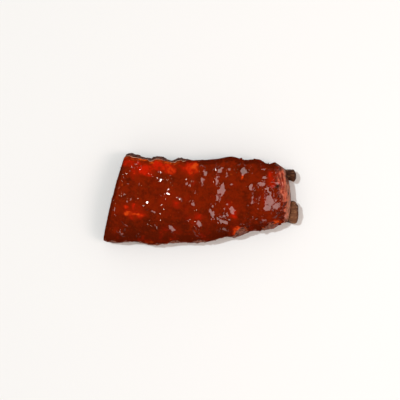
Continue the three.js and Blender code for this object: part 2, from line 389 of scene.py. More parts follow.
class Shader:
    """One material and its nodes."""

    def __init__(self, name):
        self.material = bpy.data.materials.new(name)
        self.material.use_nodes = True
        self.tree = self.material.node_tree
        self.tree.nodes.clear()
        place = self.node("ShaderNodeTexCoord", {}, {}, "Object")
        self.place = self.node("ShaderNodeMapping", {}, {"Vector": place, "Scale": (1 / MM,) * 3})

    def node(self, kind, settings, inputs, output=0):
        """Adds a node, sets its settings and then its sockets, and returns one of its outputs."""
        made = self.tree.nodes.new(kind)
        for key, setting in settings.items():
            setattr(made, key, setting)
        for key, value in inputs.items():
            if isinstance(value, Value):
                self.tree.links.new(value.socket, made.inputs[key])
            else:
                made.inputs[key].default_value = value
        return Value(self, made.outputs[output]) if len(made.outputs) else made

    def attributes(self, *names):
        """The mesh's values under these names, each as one socket."""
        return [self.node("ShaderNodeAttribute", {"attribute_name": name}, {}, "Fac") for name in names]

    def noise(self, length, detail=3.0, stretch=(1, 1, 1), roughness=0.55):
        """Cloudy noise from 0 to 1 with features of about this many millimetres, longer by stretch."""
        scale = tuple(1 / s for s in stretch)
        place = self.node("ShaderNodeMapping", {}, {"Vector": self.place, "Scale": scale})
        sizes = {"Vector": place, "Scale": 1 / length, "Detail": detail, "Roughness": roughness}
        return self.node("ShaderNodeTexNoise", {}, sizes)

    def mix(self, share, first, second):
        """A colour between two others, each a socket or a colour from the settings. The Mix node's colour
        sockets share their names with others, so they go by their numbers."""
        first, second = (end if isinstance(end, Value) else (*end, 1) for end in (first, second))
        return self.node("ShaderNodeMix", {"data_type": "RGBA"}, {0: share, 6: first, 7: second}, 2)

    def bump(self, height, distance, normal=None):
        """A normal tilted by a relief of this many millimetres, on top of another relief's if given."""
        inputs = {"Height": height, "Distance": distance * MM, "Strength": 1.0}
        if normal is not None:
            inputs["Normal"] = normal
        return self.node("ShaderNodeBump", {}, inputs)

    def finish(self, inputs):
        """Ends the tree with a Principled BSDF on these sockets and returns the material."""
        surface = self.node("ShaderNodeBsdfPrincipled", {}, inputs)
        self.node("ShaderNodeOutputMaterial", {}, {"Surface": surface})
        return self.material


# The sizes and colours that a user would change


def colour_property(name, description, colour):
    return bpy.props.FloatVectorProperty(
        name=name, description=description, default=linear(colour), size=3, min=0, max=1, subtype="COLOR"
    )


def length_property(name, description, millimetres):
    return bpy.props.FloatProperty(
        name=name, description=description, default=millimetres * MM, min=0, precision=5, unit="LENGTH"
    )


def strength_property(name, description, strength):
    return bpy.props.FloatProperty(name=name, description=description, default=strength, min=0)


class RibsGlaze(bpy.types.PropertyGroup):
    stand: length_property("Stand", "How far the glaze stands out from the meat", 0.25)
    ripple: length_property("Ripple", "Height of the small ripples in the glaze", 0.1)
    colour: colour_property("Colour", "Glaze where it lies deep", (121, 29, 4))
    # The dark colour also paints shade on the near side and on steep sides, besides the random mottles.
    dark: colour_property("Dark colour", "Glaze in the hollows", (82, 20, 4))
    red: colour_property("Red colour", "Glaze over red meat and pepper", (186, 28, 5))
    orange: colour_property("Orange colour", "Glaze where it is thinnest", (210, 78, 20))
    # The rim colour is a painted highlight: a pale line along the far rim of the glaze.
    rim: colour_property("Rim colour", "Pale fat along the far rim", (218, 156, 124))


class RibsMeat(bpy.types.PropertyGroup):
    bark: length_property("Bark", "Height of the crust's crags", 0.28)
    strand: length_property("Strand", "Height of the strands at the torn end", 0.5)
    crust: colour_property("Crust colour", "Browned outside of the meat", (108, 54, 38))
    char: colour_property("Char colour", "Darkest parts of the crust", (46, 20, 9))
    skin: colour_property("Skin colour", "Warm brown between the crags and fibres", (104, 44, 22))
    fibre: colour_property("Fibre colour", "Dry meat at the torn end", (164, 100, 76))
    flesh: colour_property("Flesh colour", "Moist meat at the torn end", (212, 104, 74))
    # The flap colour is a painted sheen on the wet flaps of the torn end.
    flap: colour_property("Flap colour", "Pale wet flaps at the torn end", (172, 104, 92))
    juice: colour_property("Juice colour", "Red juices between the fibres", (140, 34, 12))
    underside: colour_property("Underside colour", "Skin between the bones", (132, 78, 52))


class RibsBones(bpy.types.PropertyGroup):
    colour: colour_property("Colour", "Cooked bone", (118, 72, 44))
    # The stain colour also paints shade on the lower half of each bone.
    stain: colour_property("Stain colour", "Bone stained by juices and smoke", (62, 26, 9))
    gristle: colour_property("Gristle colour", "Golden streaks of gristle", (190, 138, 88))
    marrow: colour_property("Marrow colour", "Spongy inside at the sawn ends", (92, 34, 20))


class RibsStage(bpy.types.PropertyGroup):
    floor: colour_property("Floor colour", "The plain surface that the rack lies on", (240, 239, 237))
    sun: strength_property("Sun", "Strength of the key light", 1.48)
    fill: strength_property("Fill", "Strength of the light all round", 1.0)


# Glaze

GLAZE_ROWS, GLAZE_COLUMNS, BACK_RINGS = 356, 250, 9
# How much closer together points lie near the rims.
RIM_CROWDING = 0.25
# How deep in the meat the glaze's rim and its back lie, and how far in from the rim the glaze has risen.
GLAZE_SUNK, BACK_DEPTH, RIM_LENGTH = 0.75, 1.2, 0.55
# The bead along the rim: its height, how far in it lies, and its width.
BEAD_HEIGHT, BEAD_PLACE, BEAD_WIDTH = 0.22, 1.6, 1.1
# Heights of the glaze's lower rim above the waist, in millimetres along the surface.
FAR_RIM_BARE, FAR_RIM = 14.8, 4.0
NEAR_RIM = 6.0
LEFT_RIM, RIGHT_RIM, RIGHT_RIM_NEAR = 5.0, 15.5, 11.5
# Powers by which each rim's waves fade towards the middle.
LEFT_FADE, RIGHT_FADE, SIDE_FADE = 24, 6, 4
# Stretches of the near side that the glaze leaves bare: middle x, half length and how far up. Further left a
# narrow fringe is bare here and there.
NEAR_BARE = ((31.0, 5.8, 9.5), (53.0, 7.5, 10.5))
NEAR_FRINGE = 3.4

# Facets of glaze that face the sun: centre x and y, half width, half length and the long way's heading.
SUN_FACETS = (
    (-39.9, -2.7, 0.5, 2.0, 165),
    (-42.4, -5.0, 0.5, 1.5, 12),
    (-31.8, 12.0, 0.6, 1.8, 28),
    (-29.9, 14.4, 0.75, 2.2, 33),
    (-27.9, 17.2, 0.6, 1.4, 38),
    (-33.4, 15.8, 0.6, 1.1, 15),
    (-30.1, 20.2, 0.7, 0.9, 0),
    (-24.6, 4.4, 1.1, 1.8, 60),
    (-16.2, 0.2, 1.3, 2.3, 50),
    (-27.5, -7.5, 0.8, 1.1, 160),
    (-30.3, -15.9, 0.7, 0.9, 0),
    (-7.8, -19.9, 0.9, 1.7, 60),
    (-4.8, -16.9, 0.7, 1.3, 45),
    (-56.0, 14.6, 0.8, 1.1, 45),
    (-60.2, 7.2, 0.8, 1.3, 35),
    (-59.9, 15.8, 0.6, 0.8, 0),
    (-60.6, 10.7, 0.6, 0.8, 100),
    (-55.6, 12.6, 0.6, 1.2, 5),
    (-50.2, 9.8, 0.6, 0.7, 0),
    (-55.1, 27.2, 0.6, 0.8, 30),
    (-49.9, 25.6, 0.6, 0.7, 0),
    (-46.9, 24.2, 0.7, 0.7, 0),
    (-63.5, -3.3, 0.6, 1.4, 72),
    (-58.4, -22.0, 0.6, 1.0, 140),
    (-55.2, -22.8, 0.7, 0.8, 0),
    (-53.9, -24.4, 0.6, 0.8, 0),
    (-38.1, -16.0, 0.9, 1.3, 150),
    (-3.5, 4.0, 0.6, 0.7, 0),
    (20.6, 17.5, 0.6, 0.7, 0),
    (34.2, -1.3, 0.6, 0.8, 60),
    (39.2, -1.6, 0.6, 0.8, 140),
    (8.6, -18.9, 0.6, 0.6, 0),
    (45.5, 26.5, 0.7, 1.0, 20),
    (45.9, 24.0, 0.6, 0.8, 150),
    (53.8, 22.9, 0.6, 1.3, 160),
    (57.2, 20.4, 0.6, 0.7, 60),
)
# Facets that face the card, in groups: the ovals of a group lie on one plane.
CARD_FACETS = (
    ((2.4, 20.8, 1.2, 3.1, 113),),
    ((0.7, 14.3, 0.9, 2.8, 100),),
    ((13.1, 21.1, 1.7, 2.2, 60), (11.6, 14.8, 1.2, 3.2, 95)),
    ((16.4, 8.4, 1.5, 3.0, 100), (14.0, 5.4, 1.9, 1.6, 40), (11.2, 0.6, 1.7, 2.6, 75)),
    ((31.2, 22.0, 2.3, 2.8, 100), (31.0, 26.2, 1.1, 2.6, 100)),
    ((37.6, 9.3, 1.5, 1.8, 60),),
    ((45.7, 11.6, 1.7, 1.9, 60),),
    ((48.1, 16.6, 1.1, 1.7, 60),),
    (
        (49.6, 8.2, 1.2, 1.5, 20),
        (51.4, 5.0, 1.4, 2.8, 110),
        (52.0, -1.6, 1.9, 3.6, 94),
        (50.0, -6.4, 1.5, 2.8, 15),
    ),
    ((56.9, -4.8, 1.1, 2.2, 35),),
    ((57.8, 12.6, 0.9, 2.8, 100),),
    ((47.2, -15.8, 0.8, 2.0, 172),),
    ((7.5, -9.8, 1.2, 3.4, 127),),
    ((-1.5, -18.4, 1.7, 1.9, 110), (-2.5, -24.9, 0.9, 3.2, 125)),
    ((-22.1, -21.9, 1.4, 2.2, 140),),
    ((17.1, -16.9, 1.0, 2.4, 170),),
    ((18.6, -23.4, 0.8, 3.0, 150),),
    ((23.1, -8.3, 1.6, 2.2, 130),),
    ((-5.7, -3.6, 1.3, 1.4, 90),),
    ((38.8, -1.4, 0.8, 1.6, 60),),
    ((-56.5, -19.0, 0.7, 2.8, 140),),
    ((-59.8, -25.8, 0.7, 2.4, 145),),
    ((-46.6, -26.8, 0.8, 1.4, 60),),
    ((-33.7, -20.6, 0.7, 2.0, 115),),
    ((-37.0, -8.6, 0.7, 3.0, 162),),
    ((-8.4, 10.6, 0.8, 1.0, 60),),
    ((-3.8, 6.0, 0.8, 1.3, 70),),
    ((-10.6, 11.8, 0.7, 0.9, 20),),
    ((19.8, 17.6, 0.7, 0.9, 0),),
)
# How far a facet reaches for one unit of the half sizes that it shows, for the card's and for the sun's.
CARD_REACH, SUN_REACH = 1.55, 1.05
# Facets that lie level, where a fold would catch the sun or the card.
LEVEL_FACETS = (
    ((-23.6, 14.2, 1.9, 4.5, 96),),
    ((42.5, 4.6, 2.6, 4.2, 95), (46.6, 5.2, 1.8, 3.4, 95)),
    ((56.6, 4.6, 2.2, 4.8, 95),),
    ((55.4, -10.4, 3.6, 1.8, 0),),
    ((60.4, -3.4, 1.5, 4.0, 95),),
)
# How far a facet may sink or rise from the glaze round it, and the least sum of shares to divide by.
FACET_SINK, FACET_RISE = 0.5, 1.0
LEAST_SHARE = 1e-6
# The height from which the glaze levels off, and how far above it the glaze may still come.
GLAZE_TOP_Z, TOP_SLACK = 28.2, 0.15
# Ovals where the glaze is grainy: centre x and y, half sizes, then the numbers of domes, of small facets that
# face the sun and of ones that face the card.
BUSY = (
    (-57, 11, 5, 14, 26, 5, 8),
    (-51, 24, 7, 5, 18, 2, 12),
    (-32, 16, 5, 5, 4, 0, 3),
    (-63, -4, 2, 12, 8, 3, 4),
    (-53, -24, 9, 6, 12, 2, 7),
    (-35, -17, 9, 4, 9, 3, 7),
    (17, 24, 5, 6, 22, 0, 14),
    (57, 20, 5, 6, 12, 4, 7),
    (44, -16, 14, 6, 12, 1, 8),
    (-5, -19, 6, 5, 9, 2, 5),
    (18, -21, 7, 6, 10, 1, 7),
    (40, -1, 5, 3, 6, 1, 5),
    (42, 25, 12, 4, 8, 3, 8),
    (-10, 4, 45, 22, 44, 0, 22),
    (20, 2, 40, 24, 30, 0, 14),
    (-40.5, -3.0, 4, 3, 9, 0, 0),
    (-24.5, 4.4, 3, 3, 6, 0, 0),
    (-16.2, 0.4, 3, 3, 5, 0, 0),
    (-30.0, 14.4, 4, 4, 9, 0, 0),
)
# Where a row of those ovals has each number.
DOMES, GLINTS, SHEENS = 4, 5, 6
# The size of a dome, and the least and greatest half size of a small facet.
GRAIN_RADIUS, GRAIN_HEIGHT = 1.2, 0.2
SPARKLE_SMALL, SPARKLE_LARGE = 0.45, 0.8

# Patches where the glaze is thin over red meat: centre x and y, half sizes, redness and orangeness.
PATCHES = (
    (-52.0, 31.6, 6.5, 1.8, 0.7, 0.5),
    (-41.0, 29.8, 6.0, 1.4, 0.6, 0.3),
    (-51.0, 28.0, 9.0, 3.8, 0.8, 0.0),
    (-41.0, 22.5, 7.5, 5.5, 1.0, 0.05),
    (-49.5, 20.5, 4.0, 6.0, 0.5, 0.0),
    (-32.5, 26.5, 7.0, 4.5, 0.95, 0.1),
    (-25.0, 24.5, 5.5, 5.5, 1.0, 0.3),
    (-22.4, 22.0, 4.0, 3.6, 1.0, 0.5),
    (-14.5, 25.0, 6.0, 3.0, 0.4, 0.0),
    (-7.4, 23.6, 6.6, 6.0, 1.0, 0.3),
    (-4.0, 24.4, 3.6, 4.4, 0.9, 0.6),
    (-7.0, 20.6, 2.6, 2.2, 0.9, 0.6),
    (-50.0, -9.0, 9.5, 5.5, 0.45, 0.0),
    (-48.0, -12.0, 7.5, 3.0, 0.75, 0.0),
    (-54.6, -10.4, 3.0, 1.8, 1.0, 0.8),
    (-50.6, -11.3, 4.2, 1.9, 1.0, 0.7),
    (-46.0, -12.4, 3.8, 1.4, 0.9, 0.4),
    (-56.0, -5.2, 2.2, 1.6, 0.8, 0.25),
    (-50.9, -4.7, 1.8, 1.4, 0.7, 0.1),
    (-17.7, -3.2, 5.0, 3.5, 0.5, 0.0),
    (-1.3, -12.7, 6.0, 3.6, 0.5, 0.0),
    (-26.0, 1.0, 8.5, 5.5, 0.22, 0.0),
    (24.5, -11.5, 3.2, 3.6, 0.8, 0.15),
    (21.0, -4.0, 5.5, 5.0, 0.3, 0.0),
    (31.2, 16.3, 1.8, 2.4, 0.9, 0.6),
    (53.0, 14.6, 4.4, 6.6, 0.65, 0.15),
    (59.0, 14.5, 2.6, 6.0, 0.7, 0.6),
    (28.5, -23.5, 4.2, 3.4, 1.0, 0.8),
    (57.2, -16.5, 4.0, 2.1, 0.9, 1.0),
    (-38.5, -33.2, 4.0, 1.2, 0.0, 0.35),
)

# Ovals where the glaze looks darker: laid out as the mounds are.
SHADES = (
    (36, -7, 7, 12, 0.7, 60),
    (33, 21, 4, 5, 0.8, 90),
    (-38, -24, 9, 22, 0.5, 5),
    (-38, 14, 5, 16, 0.35, 15),
    (-12, -12, 5, 14, 0.4, 10),
    (4, 24, 5, 9, 0.3, 100),
    (50, 22, 5, 9, 0.4, 150),
)


def glaze_rims(b, x):
    """How much higher than its plain height each rim of the glaze is: far, near, left and right, in
    millimetres. The near and left rims hang down in rounded lobes, each one less the size of a ripple field.
    The far and near rims vary with x alone and the others with b alone, so rows of points never cross."""
    along = np.stack([x, 0 * x, 0 * x], axis=-1)
    across = np.stack([b * HALF_WIDTH, 0 * x, 0 * x], axis=-1)
    bare = 1 - smoothstep(x, -14, 2)
    wave = np.cos(2 * np.pi * (x - FOLD_CREST_X) / FOLD_PITCH)
    far = (FAR_RIM_BARE - FAR_RIM + 0.9 * wave) * bare
    far = far + 0.5 * ripples(along, 5, 31) + 0.2 * ripples(along, 2.2, 32)
    near = 1.8 * (1 - np.abs(ripples(along, 9, 33))) + 0.35 * ripples(along, 2.4, 34)
    near = near + NEAR_FRINGE * smoothstep(ripples(along, 9, 39), -0.4, 0.8) * (1 - smoothstep(x, 8, 22))
    for middle, half, up in NEAR_BARE:
        near = near + up * np.exp(-(((x - middle) / half) ** 4))
    left = 2.6 * (1 - np.abs(ripples(across, 11, 35))) + 0.3 * ripples(across, 2.6, 36)
    right = (RIGHT_RIM_NEAR - RIGHT_RIM) * smoothstep(-b, -0.1, 0.45)
    right = right + 1.2 * ripples(across, 4.5, 37) + 0.6 * ripples(across, 1.8, 38)
    return far, near, left, right


def facing(point, light):
    """The slopes, x and y, at which a surface mirrors a light's place into the camera: those of the plane
    square to the way halfway between the two."""
    ways = [np.array(place) - point for place in (light, CAMERA_PLACE)]
    halfway = sum(way / np.linalg.norm(way) for way in ways)
    return -halfway[0] / halfway[2], -halfway[1] / halfway[2]


def facets(spot, heights, groups, light, reach):
    """How far to move glaze so that it faces a light. A group of ovals brings the heights to one plane, by a
    share of e to the minus distance to the power 8. The plane lies at the mean height there, or higher, so
    that its low end does not sink too far."""
    x, y = spot[..., 0], spot[..., 1]
    warp_x, warp_y = 0.4 * ripples(spot, 3.2, 21), 0.4 * ripples(spot, 3.2, 22)
    up = 0 * x
    for group in groups:
        centre_x, centre_y = np.mean(group, axis=0)[:2]
        slope_x, slope_y = facing(np.array([centre_x, centre_y, MIDDLE_TOP_Z]), light)
        share = 0 * x
        for oval_x, oval_y, half_width, half_length, heading in group:
            c, s = math.cos(math.radians(heading)), math.sin(math.radians(heading))
            off_x, off_y = x - oval_x + warp_x, y - oval_y + warp_y
            along, across = (off_x * c + off_y * s) / half_length, (off_y * c - off_x * s) / half_width
            share = np.maximum(share, np.exp(-((np.hypot(along, across) / reach) ** 8)))
        moved = slope_x * (x - centre_x) + slope_y * (y - centre_y) - heights - up
        moved = moved - np.sum(share * moved) / max(np.sum(share), LEAST_SHARE)
        moved = moved + max(0, -0.9 * FACET_SINK - np.min(np.where(share > 0.5, moved, 0)))
        up = up + moved * share
    return up


def strewn(rng, oval, count):
    """Drawn places in an oval, evenly over its area: each way out is the square root of an even draw."""
    turn, out = rng.uniform(0, 2 * math.pi, count), np.sqrt(rng.uniform(0, 1, count))
    return np.stack([oval[0] + oval[2] * out * np.cos(turn), oval[1] + oval[3] * out * np.sin(turn)], -1)


def domes(x, y):
    """Domes in the busy ovals: each is its height times e to the minus squared distance in radii."""
    rng = np.random.default_rng(23)
    up = 0 * x
    for oval in BUSY:
        for place_x, place_y in strewn(rng, oval, oval[DOMES]):
            radius, height = GRAIN_RADIUS * rng.uniform(0.7, 1.3), GRAIN_HEIGHT * rng.uniform(0.6, 1.3)
            up = up + height * np.exp(-(((x - place_x) ** 2 + (y - place_y) ** 2) / radius**2))
    return up


def sparkles(kind, seed):
    """Groups of one small facet each in the busy ovals, as many as that kind's column of them says, with
    drawn sizes and headings."""
    rng = np.random.default_rng(seed)
    groups = []
    for oval in BUSY:
        for place in strewn(rng, oval, oval[kind]):
            half_width = rng.uniform(SPARKLE_SMALL, 0.7 * SPARKLE_LARGE)
            half_length = rng.uniform(SPARKLE_SMALL, SPARKLE_LARGE)
            groups.append(((*place, half_width, half_length, rng.uniform(0, 180)),))
    return groups


def even_and_rims(count):
    """Shares from 0 to 1, closer together near both ends."""
    even = np.linspace(0, 1, count)
    return (1 - RIM_CROWDING) * even + RIM_CROWDING * (1 - np.cos(np.pi * even)) / 2


def patch_masks(x, y):
    """Redness and orangeness at x and y: the strongest of the patches, each a soft oval with a wavy edge."""
    red, orange = np.zeros_like(x), np.zeros_like(x)
    spot = np.stack([x, y, 0 * x], axis=-1)
    warp_x, warp_y = 0.7 * ripples(spot, 7, 41), 0.7 * ripples(spot, 6, 43)
    for centre_x, centre_y, half_x, half_y, redness, orangeness in PATCHES:
        reach = np.hypot((x - centre_x + warp_x) / half_x, (y - centre_y + warp_y) / half_y)
        oval = 1 - smoothstep(reach, 0.15, 1.45)
        red = np.maximum(red, redness * oval)
        orange = np.maximum(orange, orangeness * oval)
    return red, orange


def glaze_grid():
    """Places of the glaze's points, v along and u across, and how far each is from the left, right, near
    and far rims, in millimetres along the surface. Rims and places depend on each other, so both are worked
    out in turn a few times."""
    s = even_and_rims(GLAZE_ROWS)[:, None] + 0 * even_and_rims(GLAZE_COLUMNS)
    t = even_and_rims(GLAZE_COLUMNS) + 0 * s
    v, u = 2 * s - 1, 2 * t - 1
    v_low, v_high = -1 + LEFT_RIM / LEFT_ARC[2], 1 - RIGHT_RIM / RIGHT_ARC[2]
    u_low, u_high = -1 + NEAR_RIM / NEAR_ARC[2], 1 - FAR_RIM / FAR_ARC[2]
    for _ in range(4):
        a, b = along_at(v), across_at(u)
        far, near, left, right = glaze_rims(b, plan(a, b)[0])
        left, right = left / LEFT_ARC[2], right / RIGHT_ARC[2]
        near, far = near / NEAR_ARC[2], far / FAR_ARC[2]
        v = v_low + (v_high - v_low) * s + left * (1 - s) ** LEFT_FADE - right * s**RIGHT_FADE
        u = u_low + (u_high - u_low) * t + near * (1 - t) ** SIDE_FADE - far * t**SIDE_FADE
    from_left, from_right = (v - (v_low + left)) * LEFT_ARC[2], (v_high - right - v) * RIGHT_ARC[2]
    from_near, from_far = (u - (u_low + near)) * NEAR_ARC[2], (u_high - far - u) * FAR_ARC[2]
    return v, u, from_left, from_right, from_near, from_far


def glaze_face(base, to_rim, glaze):
    """The glaze's outer face: the slab's top moved out by the glaze's stand, bead, waves and domes, all
    falling away at the rim, and flattened by its facets. Above GLAZE_TOP_Z it levels off within TOP_SLACK."""
    normal = normals_of(base)
    spot = base * (1, 1, 0)
    rise = 1 - np.exp(-((to_rim / RIM_LENGTH) ** 1.2))
    bead = BEAD_HEIGHT * np.exp(-(((to_rim - BEAD_PLACE) / BEAD_WIDTH) ** 2))
    waves = glaze.ripple / MM * (0.35 * ripples(spot, 8, 11) + 0.15 * ripples(spot, 2.8, 13))
    stand = -GLAZE_SUNK + (GLAZE_SUNK + glaze.stand / MM + bead + waves) * rise
    stand = stand + domes(base[..., 0], base[..., 1]) * rise
    heights = (base + normal * stand[..., None])[..., 2]
    sheens = sparkles(SHEENS, 27) + list(CARD_FACETS)
    glints = sparkles(GLINTS, 29) + [(oval,) for oval in SUN_FACETS]
    raised = facets(spot, heights, LEVEL_FACETS, CAMERA_PLACE, 1)
    raised = raised + facets(spot, heights + raised, sheens, CARD_PLACE, CARD_REACH)
    raised = raised + facets(spot, heights + raised, glints, SUN_PLACE, SUN_REACH)
    stand = stand + np.clip(raised, -FACET_SINK, FACET_RISE) * rise
    outer = base + normal * stand[..., None]
    over = np.maximum(outer[..., 2] - GLAZE_TOP_Z, 0)
    outer[..., 2] -= over - TOP_SLACK * (1 - np.exp(-over / TOP_SLACK))
    return outer


def glaze_marks(base, outer, to_rim, from_far, far_half):
    """What the shader reads: redness, orangeness at the patches, the thin rim and a band behind the far rim,
    a painted highlight just inside the far rim, painted shade towards the near side and in the darker ovals,
    and where it is steep."""
    spot = base * (1, 1, 0)
    x, y = base[..., 0], base[..., 1]
    red, orange = patch_masks(outer[..., 0], outer[..., 1])
    far_left = (1 - smoothstep(x, -16, -6)) * far_half
    thin = np.exp(-((to_rim / 1.1) ** 2)) * (0.3 + 0.35 * ripples(spot, 4, 17))
    # Painted highlight: a pale line just inside the far rim, on the left half.
    pale = np.exp(-(((from_far - 0.9) / 0.7) ** 2)) * (1.5 + 0.3 * ripples(spot, 6, 19)) * far_left
    band = np.exp(-(((from_far - 2.9) / 1.1) ** 2)) * (1.1 + 0.3 * ripples(spot, 5, 18)) * far_left
    return {
        "red": red * (1 - 0.8 * band.clip(0, 1)),
        "orange": np.maximum(orange, np.maximum(thin, 0.6 * band)),
        "rim": pale,
        # Painted shade: darker towards the near side, which faces away from the sun, plus the darker ovals.
        "painted_shade": smoothstep(-y, 4, 26) + mounds(x, y, SHADES),
        "steep": smoothstep(1 - normals_of(base)[..., 2], 0.05, 0.3),
    }


def glaze_material(glaze):
    """Wet caramel glaze: deep red-brown with random darker mottles, painted shade towards the near side and
    on steep sides, red and orange where it lies thin, and a painted highlight along the far rim, under a
    clear wet coat."""
    shader = Shader("wet_glaze")
    red, orange, painted_shade, rim, steep = shader.attributes("red", "orange", "painted_shade", "rim", "steep")
    cloud = shader.noise(9, 4, roughness=0.6)
    fleck = shader.noise(2.0, 5, roughness=0.7)
    mottle = shader.noise(3.2, 3, roughness=0.6)
    # Painted shade darkens the near side and the steep sides, on top of the random mottles.
    dark = painted_shade * 0.45 + steep * 0.8 + (cloud - 0.5) * 1.6 + (mottle - 0.5) * 2.2 + (fleck - 0.5) * 1.6
    colour = shader.mix(dark.step(-0.4, 0.8), glaze.colour, glaze.dark)
    blush = (shader.noise(14, 2) * 0.7 + mottle * 0.5).step(0.58, 1.0) * 0.5
    colour = shader.mix(blush, colour, glaze.red)
    uneven = (fleck - 0.5) * 2.0 + (mottle - 0.5) * 2.2 + (cloud - 0.5) * 1.6
    colour = shader.mix((red + uneven * red * 1.1).step(0.0, 1.1), colour, glaze.red)
    colour = shader.mix((orange + uneven * orange * 1.3).step(0.1, 1.25), colour, glaze.orange)
    colour = shader.mix((fleck + (mottle - 0.5) * 0.4).step(0.62, 0.74) * 0.35, colour, glaze.orange)
    # Painted highlight along the far rim.
    colour = shader.mix((rim + (fleck - 0.5) * 0.8 * rim).step(0.3, 0.8), colour, glaze.rim)
    wet = shader.bump(shader.noise(2.2, 2), 0.003)
    return shader.finish(
        {
            "Base Color": colour,
            "Roughness": 0.6,
            "IOR": 1.45,
            "Specular IOR Level": 0.0,
            "Normal": wet,
            "Coat Weight": 1.0 - steep,
            "Coat Roughness": 0.035,
            "Coat IOR": 1.45,
            "Subsurface Weight": 0.08,
            "Subsurface Radius": (1.0, 0.25, 0.08),
            "Subsurface Scale": 1.2 * MM,
        }
    )


class RIBS_OT_glaze(bpy.types.Operator):
    """Pour the glaze over the meat, as one closed layer with a rounded rim"""

    bl_idname = "ribs.glaze"
    bl_label = "Add glaze"

    def execute(self, context):
        """Behind the outer face, rings close in from the rim to one point inside the meat."""
        glaze = context.scene.ribs_glaze
        v, u, *from_rims = glaze_grid()
        to_rim = np.minimum.reduce(from_rims).clip(0)
        base = top_surface(along_at(v), across_at(u))
        outer = glaze_face(base, to_rim, glaze)
        shares = np.linspace(1, 0, BACK_RINGS + 1)[:, None]
        back = top_surface(along_at(shares * round_the_edge(v)), across_at(shares * round_the_edge(u)))
        back[..., 2] -= BACK_DEPTH
        points, faces = backed(outer, back)
        hidden = np.zeros(len(points) - to_rim.size)
        marks = glaze_marks(base, outer, to_rim, from_rims[-1], u > 0)
        marks = {name: np.concatenate([values.ravel(), hidden]) for name, values in marks.items()}
        piece = add_mesh("glaze", points, faces, marks, glaze_material(glaze))
        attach(piece, "root")
        return {"FINISHED"}


# Meat

MEAT_ROWS, MEAT_COLUMNS = 262, 176
# How far the meat lies inside the solid under the glaze, and on its bare bark and torn end.
MEAT_SUNK, BARK_SUNK = 0.55, 0.3
# How dark the torn end's shoulder is, and how far up the end it lies.
SHOULDER_SHADE, SHOULDER_UP = 0.12, 8.5
# How much paler the near side's bark is, and how far the skin hangs down between the bones.
NEAR_PALENESS, SKIN_SAG = 0.4, 0.1
# How far the skin over the bones lies inside them, and the share of a bone's width that it spans.
CHANNEL_SUNK, CHANNEL_SHARE = 0.6, 0.93
# Dark fibres and clefts of the torn end: laid out as the mounds are.
DARK_FIBRES = (
    (66.6, 16.6, 1.8, 4.5, 0.9, 98),
    (60.0, 25.0, 2.5, 4.5, 0.7, 150),
    (63.4, -4.8, 0.8, 3.8, 1.3, 53),
    (68.6, 3.0, 0.5, 9.0, 0.5, 90),
    (64.6, -16.4, 1.2, 4.0, 0.6, 130),
)
TEARS = (
    (63.4, -4.8, 0.7, 3.6, 0.9, 53),
    (61.2, 11.0, 0.7, 3.4, 0.7, 98),
    (65.6, 14.5, 0.8, 5.0, 0.6, 96),
    (66.4, 2.0, 0.6, 6.0, 0.5, 88),
    (59.5, 22.5, 0.8, 3.0, 0.6, 130),
)
# Wet flaps that lie on the torn end, with a painted pale sheen.
FLAPS = (
    (63.3, -12.2, 0.9, 4.4, 0.5, 118),
    (61.0, -7.4, 0.8, 2.4, 0.4, 50),
    (58.6, 23.8, 0.9, 3.4, 0.4, 128),
)


def bone_centre(bone, u):
    """Centre of a bone at share u of its length: straight in plan with a slight bow, rising with the lift."""
    x = bone["left"][0] + (bone["right"][0] - bone["left"][0]) * u
    y = bone["left"][1] + (bone["right"][1] - bone["left"][1]) * u + bone["bow"] * np.sin(np.pi * u)
    return x, y, bone["height"] / 2 - BONE_FLAT + lift(x)


def bone_cover(x, y):
    """Height of the underside where it lies on the bones, a little inside them, and 0 between them."""
    cover = np.zeros_like(x)
    for bone in BONES.values():
        u = (x - bone["left"][0]) / (bone["right"][0] - bone["left"][0])
        _x, centre_y, centre_z = bone_centre(bone, np.clip(u, 0, 1))
        off = np.abs(y - centre_y) / (bone["width"] / 2)
        arch = centre_z + bone["height"] / 2 * np.sqrt(np.maximum(0, 1 - off**2)) - CHANNEL_SUNK
        cover = np.maximum(cover, np.where((off < CHANNEL_SHARE) & (u < 1.0), arch, 0))
    return cover


